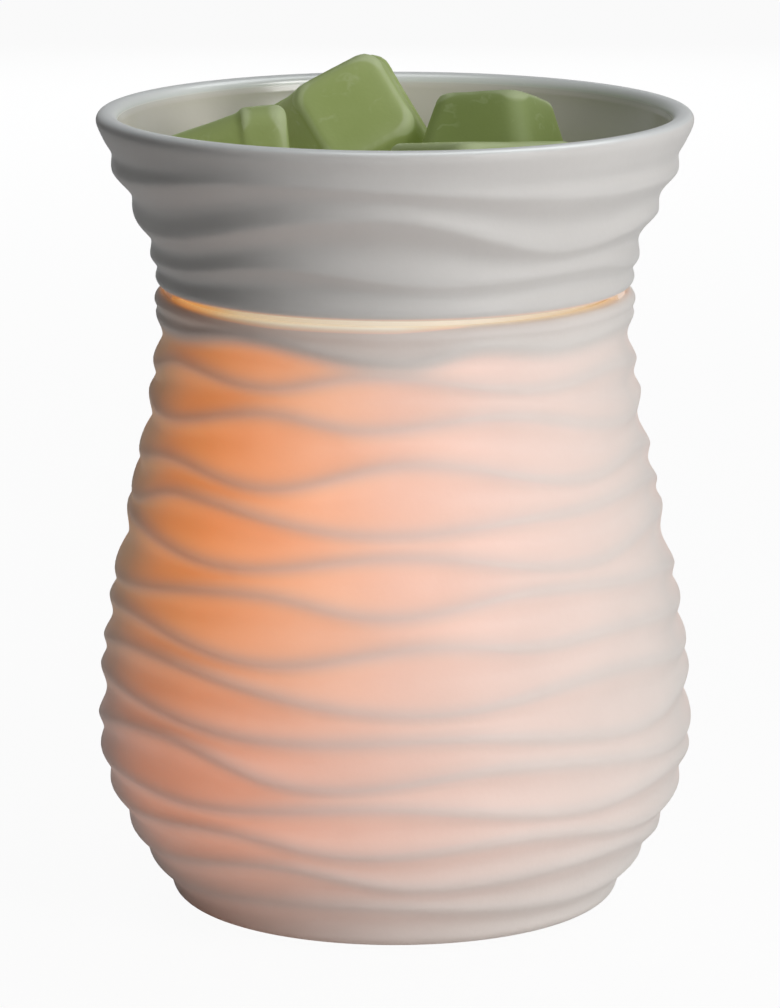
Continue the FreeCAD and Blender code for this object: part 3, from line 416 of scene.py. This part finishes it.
def glowing_coil(paint):
    """Wire of the lamp, hot in its coil and cooler on its supports."""
    turns = {"Vector": place_on(paint), "Scale": 0.9 / MM}
    coils = paint.node("ShaderNodeTexWave", {"bands_direction": "Z"}, turns)
    return {
        "Base Color": between(paint, (0.60, 0.50, 0.36), (0.90, 0.78, 0.52), coils),
        "Emission Color": between(paint, (1.0, 0.66, 0.28), (1.0, 0.86, 0.56), coils),
        "Roughness": 0.35 + coils * 0.1,
    }


def pale_floor(paint):
    """Pale floor with a faint speckle."""
    speckle = grain(paint, 2 * MM, 2.0)
    return {"Base Color": between(paint, (0.80, 0.80, 0.80), (0.83, 0.83, 0.83), speckle)}


def ease(t):
    """Rise from 0 to 1 with a level start and a level end."""
    return (1 - np.cos(np.pi * np.clip(t, 0, 1))) / 2


def body_radius(z):
    """Crest radius of the lamp body: a round belly, a long shoulder and a short flared collar."""
    rise = np.clip((z - FOOT_LIFT) / (BELLY_HEIGHT - FOOT_LIFT), 0, 1)
    t = np.clip((z - BELLY_HEIGHT) / (NECK_HEIGHT - BELLY_HEIGHT), 0, 1)
    fall = SHOULDER_FULLNESS * ease(t) + (1 - SHOULDER_FULLNESS) * (1 - np.cos(t * np.pi / 2))
    flare = ease((z - NECK_HEIGHT) / COLLAR_HEIGHT)
    belly = FOOT_RADIUS + (BELLY_RADIUS - FOOT_RADIUS) * np.sin(rise * np.pi / 2)
    return belly - (BELLY_RADIUS - NECK_RADIUS) * fall + (LIP_RADIUS - NECK_RADIUS) * flare


def dish_radius(z):
    """Crest radius of the dish, which flares from its base to its rim."""
    t = (z - DISH_BOTTOM) / DISH_HEIGHT
    flare = (1 - DISH_STRAIGHTNESS) * ease(t) + DISH_STRAIGHTNESS * t
    return DISH_BASE_RADIUS + (RIM_RADIUS - DISH_BASE_RADIUS) * flare


def crest_line(turns, angle):
    """Height of one crest line at angles, as a share, eased between its turning points."""
    angles = np.array([a for a, _ in turns] + [turns[0][0] + REPEAT_ANGLE], float)
    heights = np.array([h for _, h in turns] + [turns[0][1]], float)
    along = angles[0] + (angle - angles[0]) % REPEAT_ANGLE
    i = np.clip(np.searchsorted(angles, along, side="right") - 1, 0, len(turns) - 1)
    t = (along - angles[i]) / (angles[i + 1] - angles[i])
    return (heights[i] + (heights[i + 1] - heights[i]) * ease(t)) / 1000


def ripple(z, angle, bottom, top, low_round, high_round, crests):
    """How deep the wall lies between two crest lines: 0 on a crest, 1 in a valley one pitch wide."""
    lines = [np.full_like(z, bottom + low_round)]
    lines += [bottom + (top - bottom) * crest_line(turns, angle) for turns in crests]
    lines.append(np.full_like(z, top - high_round))
    pitch = (lines[-1] - lines[0]) / (len(lines) - 1)
    depth = np.zeros_like(z)
    for low, high in zip(lines, lines[1:]):
        inside = (z >= low) & (z <= high)
        hollow = np.clip(np.sin(np.pi * (z - low) / (high - low)), 0, 1) ** VALLEY_FULLNESS
        depth = np.where(inside, hollow * np.minimum((high - low) / pitch, DEEPEST_VALLEY), depth)
    return depth


def body_ripple(z, angle):
    """Depth of the lamp body's ripples."""
    return ripple(z, angle, FOOT_LIFT, BODY_TOP, FOOT_ROUND, LIP_ROUND, BODY_CRESTS)


def dish_ripple(z, angle):
    """Depth of the dish's ripples."""
    shallower = 1 - RIM_CALM * ease((z - DISH_TOP + RIM_CALM_DEPTH) / RIM_CALM_FADE)
    return shallower * ripple(z, angle, DISH_BOTTOM, DISH_TOP, DISH_ROUND, RIM_ROUND, DISH_CRESTS)


def edge_pull(gap, size):
    """How far a rounded edge pulls the wall in at a height of gap from the end of the wall."""
    left = np.clip(size - gap, 0, size)
    return size - np.sqrt(np.maximum(size ** 2 - left ** 2, 0))


def wall_heights(bottom, top, low_round, high_round, rows):
    """Heights of the rows of a rippled wall, close together round its two rounded edges."""
    turns = np.pi / 2 * np.arange(EDGE_ROWS) / EDGE_ROWS
    low = bottom + low_round * (1 - np.cos(turns))
    high = top - high_round * (1 - np.cos(turns[::-1]))
    return np.concatenate([low, np.linspace(bottom + low_round, top - high_round, rows + 1), high])


def ring_angles():
    """Angles of the points of a ring."""
    return 360.0 * np.arange(RING_POINTS) / RING_POINTS


def rippled_rings(bottom, top, low_round, high_round, rows, radius_at, ripple_at, depth):
    """Rings of radii and heights on a rippled wall, from its bottom up."""
    angles = ring_angles()
    rings = []
    for z in wall_heights(bottom, top, low_round, high_round, rows):
        level = np.full(RING_POINTS, z)
        pull = edge_pull(z - bottom, low_round) + edge_pull(top - z, high_round)
        rings.append((radius_at(z) - pull - depth * ripple_at(level, angles), level))
    return rings


def plain_ring(radius, z):
    """Round, level ring."""
    return np.full(RING_POINTS, radius), np.full(RING_POINTS, z)


def arc_rings(radius, z, size, first, last):
    """Round rings along an arc about a centre, from one angle above the horizontal to another."""
    turns = np.radians(np.linspace(first, last, EDGE_ROWS + 1))
    return [plain_ring(radius + size * np.cos(turn), z + size * np.sin(turn)) for turn in turns]


def object_of(name, mesh):
    """Object in the scene from a bmesh."""
    data = bpy.data.meshes.new(name)
    mesh.to_mesh(data)
    mesh.free()
    made = bpy.data.objects.new(name, data)
    bpy.context.scene.collection.objects.link(made)
    return made


def mesh_of_rings(name, rings, capped):
    """Closed piece from rings. Its end rings close on the axis if capped, and else on each other."""
    angle = np.radians(ring_angles())
    points = [np.stack([r * np.sin(angle), -r * np.cos(angle), z], 1) for r, z in rings]
    mesh = bmesh.new()
    rows = [[mesh.verts.new(p) for p in ring] for ring in points]
    pairs = list(zip(rows, rows[1:]))
    if not capped:
        pairs.append((rows[-1], rows[0]))
    for low, high in pairs:
        for i in range(RING_POINTS):
            mesh.faces.new((low[i - 1], low[i], high[i], high[i - 1]))
    if capped:
        for row in (rows[0], rows[-1]):
            middle = mesh.verts.new((0, 0, row[0].co.z))
            for i in range(RING_POINTS):
                mesh.faces.new((row[i - 1], row[i], middle))
    bmesh.ops.recalc_face_normals(mesh, faces=mesh.faces)
    return object_of(name, mesh)


def settle(piece):
    """Make a piece's modifiers part of its mesh."""
    graph = bpy.context.evaluated_depsgraph_get()
    data = bpy.data.meshes.new_from_object(piece.evaluated_get(graph))
    piece.modifiers.clear()
    piece.data = data


def smooth(piece):
    """Smooth shading, with the sharper edges left crisp."""
    piece.data.shade_smooth()
    piece.data.set_sharp_from_angle(angle=math.radians(CRISP_ANGLE))


def points_of(piece):
    """Points of a piece's mesh as rows of x, y and z."""
    flat = np.zeros(len(piece.data.vertices) * 3)
    piece.data.vertices.foreach_get("co", flat)
    return flat.reshape(-1, 3)


def store(piece, name, values):
    """Store one number for each point of a mesh."""
    attribute = piece.data.attributes.new(name, "FLOAT", "POINT")
    attribute.data.foreach_set("value", np.asarray(values, np.float32))


def polar(points):
    """Radius, angle and height of points."""
    x, y, z = points.T
    return np.hypot(x, y), np.degrees(np.arctan2(x, -y)), z


def cover(piece, material):
    """Give a piece its finish."""
    piece.data.materials.clear()
    piece.data.materials.append(material)


def dress(piece, material, body, node):
    """Give a piece its finish, put it on its body and let it stand for its node."""
    cover(piece, material)
    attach(piece, body)
    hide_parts(node)


def bush_frame():
    """Place of the bush's seat in the back wall, with Z out of the wall."""
    step = 0.5 * MM
    slope = (body_radius(BUSH_HEIGHT + step) - body_radius(BUSH_HEIGHT - step)) / (2 * step)
    tilt = math.atan(slope)
    outward = Vector((0, math.cos(tilt), -math.sin(tilt)))
    seat = Vector((0, body_radius(BUSH_HEIGHT), BUSH_HEIGHT)) - outward * BUSH_SEAT_DEPTH
    return Matrix.Translation(seat) @ outward.to_track_quat("Z", "Y").to_matrix().to_4x4()


def bush_plug():
    """Stepped plug that cuts the bush's seat and hole."""
    reach = 2 * BODY_WALL
    steps = (
        (BUSH_HOLE_RADIUS, -reach), (BUSH_HOLE_RADIUS, 0), (BUSH_SEAT_RADIUS, 0), (BUSH_SEAT_RADIUS, reach),
    )
    plug = mesh_of_rings("bush_plug", [plain_ring(*step) for step in steps], capped=True)
    plug.matrix_world = bush_frame()
    return plug


def by_table(table, values):
    """Values looked up between the entries of a table."""
    places, heights = zip(*table)
    return np.interp(values, places, heights)


def lamplight(angle, z):
    """Painted lamplight through the wall and along the lit lip, and the painted warmth it adds to the glaze's
    base colour, each from 0 to 1.
    """
    lines = [FOOT_LIFT + (BODY_TOP - FOOT_LIFT) * crest_line(turns, angle) for turns in BODY_CRESTS]
    shade = np.zeros_like(z)
    for line in lines:
        spread = np.where(z > line, SPREAD_ABOVE, SPREAD_BELOW)
        shade = np.maximum(shade, np.exp(-((z - line) / spread) ** 2))
    dim = 1 - CREST_DIMNESS * shade
    fade = COLLAR_LIGHT + (1 - COLLAR_LIGHT) * ease((lines[-1] - z) / COLLAR_FADE)
    reach = by_table(LIGHT_BY_ANGLE, angle) * by_table(LIGHT_BY_HEIGHT, z / MM)
    wall = WALL_LIGHT * reach * dim * fade
    lit_from = BODY_TOP - LIP_ROUND + by_table(LIP_DARK, angle) * MM
    lip = ease((z - lit_from) / LIP_FADE) * by_table(GAP_LIGHT, angle)
    # Painted warmth of the base colour, less on the crests and on the collar.
    cool = (1 - CREST_COOLNESS * shade) * fade
    painted_warmth = by_table(WARMTH_BY_ANGLE, angle) * cool * ease((z - WARM_FROM) / WARM_RISE)
    return wall, lip, painted_warmth


def lamp_body():
    """Lamp body: rippled outside, smooth inside, with a ledge for the floor ring above a foot recess."""
    rings = rippled_rings(
        FOOT_LIFT, BODY_TOP, FOOT_ROUND, LIP_ROUND, BODY_ROWS, body_radius, body_ripple, BODY_RIPPLE_DEPTH
    )
    rings.append(plain_ring(LIP_RADIUS - LIP_ROUND, BODY_TOP))
    inner = LIP_RADIUS - BODY_WALL
    rings += arc_rings(inner + SMALL_ROUND, BODY_TOP - SMALL_ROUND, SMALL_ROUND, 90, 180)
    for z in np.linspace(BODY_TOP - SMALL_ROUND, LEDGE_HEIGHT, INSIDE_ROWS)[1:]:
        rings.append(plain_ring(body_radius(z) - BODY_WALL, z))
    rings += arc_rings(RECESS_RADIUS + SMALL_ROUND, LEDGE_HEIGHT - SMALL_ROUND, SMALL_ROUND, 90, 180)
    rings += arc_rings(RECESS_RADIUS + SMALL_ROUND, FOOT_LIFT + SMALL_ROUND, SMALL_ROUND, 180, 270)
    piece = mesh_of_rings("porcelain_body", rings, capped=False)
    plug = bush_plug()
    cut = piece.modifiers.new("bush_hole", "BOOLEAN")
    cut.object = plug
    cut.solver = "MANIFOLD"
    settle(piece)
    bpy.data.objects.remove(plug)
    smooth(piece)
    radius, angle, z = polar(points_of(piece))
    light, gap, painted_warmth = lamplight(angle, z)
    store(piece, "lamplight", light)
    store(piece, "gaplight", gap)
    store(piece, "painted_warmth", painted_warmth)
    store(piece, "inside", radius < body_radius(z) - BODY_WALL * OUTER_SHARE)
    return piece


def dish_shell():
    """Flared dish: rippled outside, a glossy bowl inside, a locating ring and three rests underneath."""
    rings = [plain_ring(RING_INNER / 2, DISH_BOTTOM), plain_ring(RING_INNER, DISH_BOTTOM)]
    rings += arc_rings(RING_INNER + SMALL_ROUND, RING_BOTTOM + SMALL_ROUND, SMALL_ROUND, 180, 270)
    rings += arc_rings(RING_OUTER - SMALL_ROUND, RING_BOTTOM + SMALL_ROUND, SMALL_ROUND, 270, 360)
    rings.append(plain_ring(RING_OUTER, DISH_BOTTOM))
    turned = np.min([np.abs((ring_angles() - a + 180) % 360 - 180) for a in REST_ANGLES], 0)
    rest = np.where(turned <= REST_SPAN / 2, BODY_TOP, DISH_BOTTOM)
    level = np.full(RING_POINTS, DISH_BOTTOM)
    for radius, z in ((REST_INNER, level), (REST_INNER, rest), (REST_OUTER, rest), (REST_OUTER, level)):
        rings.append((np.full(RING_POINTS, radius), z))
    rings += rippled_rings(
        DISH_BOTTOM, DISH_TOP, DISH_ROUND, RIM_ROUND, DISH_ROWS, dish_radius, dish_ripple, DISH_RIPPLE_DEPTH
    )
    rings += arc_rings(RIM_RADIUS - RIM_ROUND - RIM_FLAT, DISH_TOP - RIM_ROUND, RIM_ROUND, 90, 180)
    corner_top = BOWL_FLOOR + BOWL_CORNER
    rim_wall = 2 * RIM_ROUND + RIM_FLAT
    for z in np.linspace(DISH_TOP - RIM_ROUND, corner_top, INSIDE_ROWS)[1:]:
        thinner = (DISH_WALL - rim_wall) * ease(1 - (DISH_TOP - RIM_ROUND - z) / RIM_BLEND)
        rings.append(plain_ring(dish_radius(z) - DISH_WALL + thinner, z))
    corner = dish_radius(corner_top) - DISH_WALL - BOWL_CORNER
    rings += arc_rings(corner, corner_top, BOWL_CORNER, 0, -90)[1:]
    rings.append(plain_ring(corner / 2, BOWL_FLOOR))
    piece = mesh_of_rings("porcelain_dish", rings, capped=True)
    smooth(piece)
    radius, angle, z = polar(points_of(piece))
    store(piece, "glossy", (radius < dish_radius(z) - DISH_WALL / 2) & (z > BOWL_FLOOR - SMALL_ROUND))
    # Band of the rim that gets the painted highlight and the coat.
    rim_depth = np.where(radius < RIM_RADIUS - RIM_ROUND - RIM_FLAT / 2, RIM_INSIDE, RIM_OUTSIDE)
    store(piece, "rim", ease((z - DISH_TOP + rim_depth) / RIM_FADE))
    store(piece, "gaplight", ease((DISH_BOTTOM + DISH_FRINGE - z) / DISH_FRINGE) * by_table(GAP_LIGHT, angle))
    return piece


def blurred(piece, points):
    """Points of a mesh after they have moved again and again to the middle of their neighbours."""
    first, second = np.array([edge.vertices for edge in piece.data.edges]).T
    here, there = np.append(first, second), np.append(second, first)
    share = np.bincount(here)
    for _ in range(BLUR_STEPS):
        points = np.stack([np.bincount(here, axis[there]) / share for axis in points.T], 1)
    return points


def soft_cube(node, painted_lit_level):
    """Wax cube as it came out of its mould: softened, a little dented, and marked where it is frosted."""
    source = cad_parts[node]
    piece = bpy.data.objects.new(node.replace("wax_cube", "cube"), source.data.copy())
    bpy.context.scene.collection.objects.link(piece)
    remesh = piece.modifiers.new("skin", "REMESH")
    remesh.mode = "VOXEL"
    remesh.voxel_size = SKIN_SIZE
    soften = piece.modifiers.new("soften", "SMOOTH")
    soften.factor = SOFTEN_SHARE
    soften.iterations = SOFTEN_STEPS
    settle(piece)
    points = points_of(piece)
    normals = np.array([n.vector for n in piece.data.vertex_normals])
    ridge = ((points - blurred(piece, points)) * normals).sum(1)
    dents = np.array([noise.noise(p / DENT_SIZE) for p in points]) - DENT_LEVEL
    points += normals * (DENT_DEPTH * dents)[:, None]
    piece.data.vertices.foreach_set("co", points.ravel())
    piece.data.update()
    piece.data.shade_smooth()
    store(piece, "edge", np.clip(ridge / RIDGE_HEIGHT, 0, 1))
    # Painted shade of the whole cube, the same at each point.
    store(piece, "painted_lit_level", np.full(len(ridge), painted_lit_level))
    return piece


def seen_white(paint, reflected):
    """1 to the camera and through glass, and a smaller share in reflections."""
    direct = paint.node("ShaderNodeLightPath", out="Is Camera Ray")
    glossy = paint.node("ShaderNodeLightPath", out="Is Glossy Ray")
    through = paint.node("ShaderNodeLightPath", out="Is Transmission Ray")
    return paint.math("MINIMUM", direct + glossy * reflected + through, 1.0)


def floor_finish():
    """Finish of the floor: near white where it is seen, with the pot's shadow still on it."""
    made = finish_of("pale_floor", {"Roughness": FLOOR_ROUGHNESS}, pale_floor)
    nodes = made.node_tree.nodes
    paint = Paint(made.node_tree)
    seen = seen_white(paint, REFLECTED_FLOOR)
    plain = Paint(made.node_tree, nodes["Principled BSDF"].outputs[0])
    white = paint.node("ShaderNodeEmission", None, {"Color": (1, 1, 1, 1), "Strength": 1.0})
    mixed = paint.node("ShaderNodeMixShader", None, {0: seen * FLOOR_WHITE, 1: plain, 2: white})
    paint.feed(nodes["Material Output"].inputs["Surface"], mixed)
    return made


def surroundings(world):
    """White to the camera and in reflections, and a dim even light on the pot."""
    paint = Paint(world.node_tree)
    seen = seen_white(paint, REFLECTED_WHITE)
    dim = paint.node("ShaderNodeBackground", None, {"Color": (1, 1, 1, 1), "Strength": AMBIENT})
    white = paint.node("ShaderNodeBackground", None, {"Color": (1, 1, 1, 1), "Strength": 1.0})
    mixed = paint.node("ShaderNodeMixShader", None, {0: seen, 1: dim, 2: white})
    paint.feed(world.node_tree.nodes["World Output"].inputs["Surface"], mixed)


def studio():
    """Floor, soft lights, white surroundings and the camera of the photograph."""
    scene = bpy.context.scene
    scene.view_settings.view_transform = "Standard"
    mesh = bmesh.new()
    bmesh.ops.create_grid(mesh, x_segments=1, y_segments=1, size=FLOOR_REACH)
    floor = object_of("floor", mesh)
    floor.data.materials.append(floor_finish())
    world = bpy.data.worlds.new("surroundings")
    world.use_nodes = True
    scene.world = world
    surroundings(world)
    for name, (azimuth, elevation, distance, size, power, colour) in LIGHTS.items():
        data = bpy.data.lights.new(name, "AREA")
        data.shape = "DISK"
        data.size = size
        data.energy = power
        data.color = colour
        lamp = bpy.data.objects.new(name, data)
        scene.collection.objects.link(lamp)
        a, e = math.radians(azimuth), math.radians(elevation)
        out = Vector((math.sin(a) * math.cos(e), -math.cos(a) * math.cos(e), math.sin(e)))
        lamp.location = LIGHT_AIM + out * distance
        lamp.rotation_mode = "QUATERNION"
        lamp.rotation_quaternion = out.to_track_quat("Z", "Y")
        lamp.visible_glossy = name != FILL_LIGHT
    data = bpy.data.cameras.new("photograph")
    data.lens = CAMERA_LENS
    camera = bpy.data.objects.new("photograph", data)
    scene.collection.objects.link(camera)
    camera.location = CAMERA_PLACE
    camera.rotation_euler = (math.radians(90 - CAMERA_PITCH), 0, 0)
    scene.camera = camera


GLOWING = {"Emission Strength": 1.0}
body_fixed = {**GLOWING, "Specular IOR Level": 0.18}
dish_fixed = {**GLOWING, "Specular IOR Level": 0.3, "Coat Roughness": 0.25, "Coat IOR": 2.3}
# The wax glows faintly green with painted lamplight from below.
wax_fixed = {**GLOWING, "Emission Color": (0.045, 0.058, 0.014, 1.0)}
body_finish = finish_of("body_glaze", body_fixed, body_glaze)
dish_finish = finish_of("dish_glaze", dish_fixed, dish_glaze)
wax_finish = finish_of("cube_wax", wax_fixed, cube_wax)
dress(lamp_body(), body_finish, "pot", "ripple_body")
dress(dish_shell(), dish_finish, "dish", "wax_dish")
# Each cube gets its own level of painted shade.
for side, painted_lit_level in CUBE_PAINTED_LIT_LEVELS.items():
    node = f"wax_cube_{side}"
    dress(soft_cube(node, painted_lit_level), wax_finish, f"cube_{side}", node)

# Finishes of the solids that show as they are: their nodes, fixed values and varying values.
METAL = {"Metallic": 1.0}
FINISHES = {
    # The floor ring glows warm with painted lamplight.
    "floor_porcelain": (
        ("floor_ring",), {**GLOWING, "Emission Color": (0.30, 0.19, 0.09, 1.0)},
        two_tone((0.78, 0.75, 0.71), (0.85, 0.82, 0.78), 12 * MM, 0.40, 0.12, 0.02 * MM),
    ),
    "plated_steel": (
        ("base_plate", "clamp_bar"), METAL,
        two_tone((0.50, 0.51, 0.53), (0.66, 0.67, 0.68), 5 * MM, 0.28, 0.20, 0.02 * MM, (1.0, 14.0, 1.0)),
    ),
    "zinc": (
        ("clamp_bolts", "clamp_nuts", "lampholder_screws", "terminal_fixing_screw"), METAL,
        two_tone((0.58, 0.59, 0.60), (0.74, 0.73, 0.69), 2.5 * MM, 0.24, 0.20, 0.01 * MM),
    ),
    "pale_silicone": (
        ("base_gasket", "clamp_pads"), {},
        two_tone((0.70, 0.68, 0.63), (0.78, 0.76, 0.72), 4 * MM, 0.58, 0.20, 0.03 * MM),
    ),
    "foot_rubber": (
        ("foot_1", "foot_2", "foot_3", "foot_4"), {},
        two_tone((0.018, 0.018, 0.019), (0.034, 0.034, 0.035), 3 * MM, 0.70, 0.20, 0.05 * MM),
    ),
    "bush_rubber": (
        ("cord_grommet",), {},
        two_tone((0.70, 0.69, 0.67), (0.78, 0.77, 0.75), 4 * MM, 0.55, 0.20, 0.04 * MM),
    ),
    "steatite": (
        ("lampholder_body",), {},
        two_tone((0.76, 0.71, 0.62), (0.86, 0.82, 0.74), 3 * MM, 0.52, 0.20, 0.03 * MM),
    ),
    "brass": (
        ("lampholder_contact_right", "lampholder_contact_left", "terminal_sleeves", "terminal_screws"), METAL,
        two_tone((0.66, 0.46, 0.18), (0.84, 0.64, 0.32), 2.5 * MM, 0.20, 0.20, 0.01 * MM),
    ),
    "lamp_ceramic": (
        ("lamp_base",), {},
        two_tone((0.82, 0.80, 0.75), (0.90, 0.88, 0.84), 3 * MM, 0.48, 0.20, 0.03 * MM),
    ),
    "bright_nickel": (
        ("lamp_pins",), METAL,
        two_tone((0.70, 0.69, 0.66), (0.82, 0.81, 0.78), 2 * MM, 0.12, 0.14),
    ),
    "lamp_mirror": (
        ("lamp_reflector",), {**METAL, **GLOWING, "Emission Color": (0.05, 0.034, 0.015, 1.0)}, faceted_mirror,
    ),
    "clear_glass": (
        ("lamp_front_glass", "lamp_capsule"),
        {**GLOWING, "Emission Color": (0.08, 0.055, 0.025, 1.0), "Transmission Weight": 1.0},
        two_tone((0.95, 0.93, 0.88), (0.98, 0.97, 0.94), 6 * MM, 0.02, 0.05),
    ),
    "glowing_coil": (("lamp_filament",), {"Emission Strength": 1.5}, glowing_coil),
    "moulded_plastic": (
        ("terminal_housing",), {},
        two_tone((0.80, 0.79, 0.74), (0.88, 0.87, 0.83), 5 * MM, 0.36, 0.18, 0.03 * MM),
    ),
    "lead_sleeving": (
        ("lead_wire_right", "lead_wire_left"), {},
        two_tone((0.80, 0.77, 0.68), (0.88, 0.85, 0.77), 2 * MM, 0.46, 0.20, 0.03 * MM),
    ),
}
for name, (nodes, fixed, varying) in FINISHES.items():
    finish = finish_of(name, fixed, varying)
    for node in nodes:
        cover(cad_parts[node], finish)
studio()
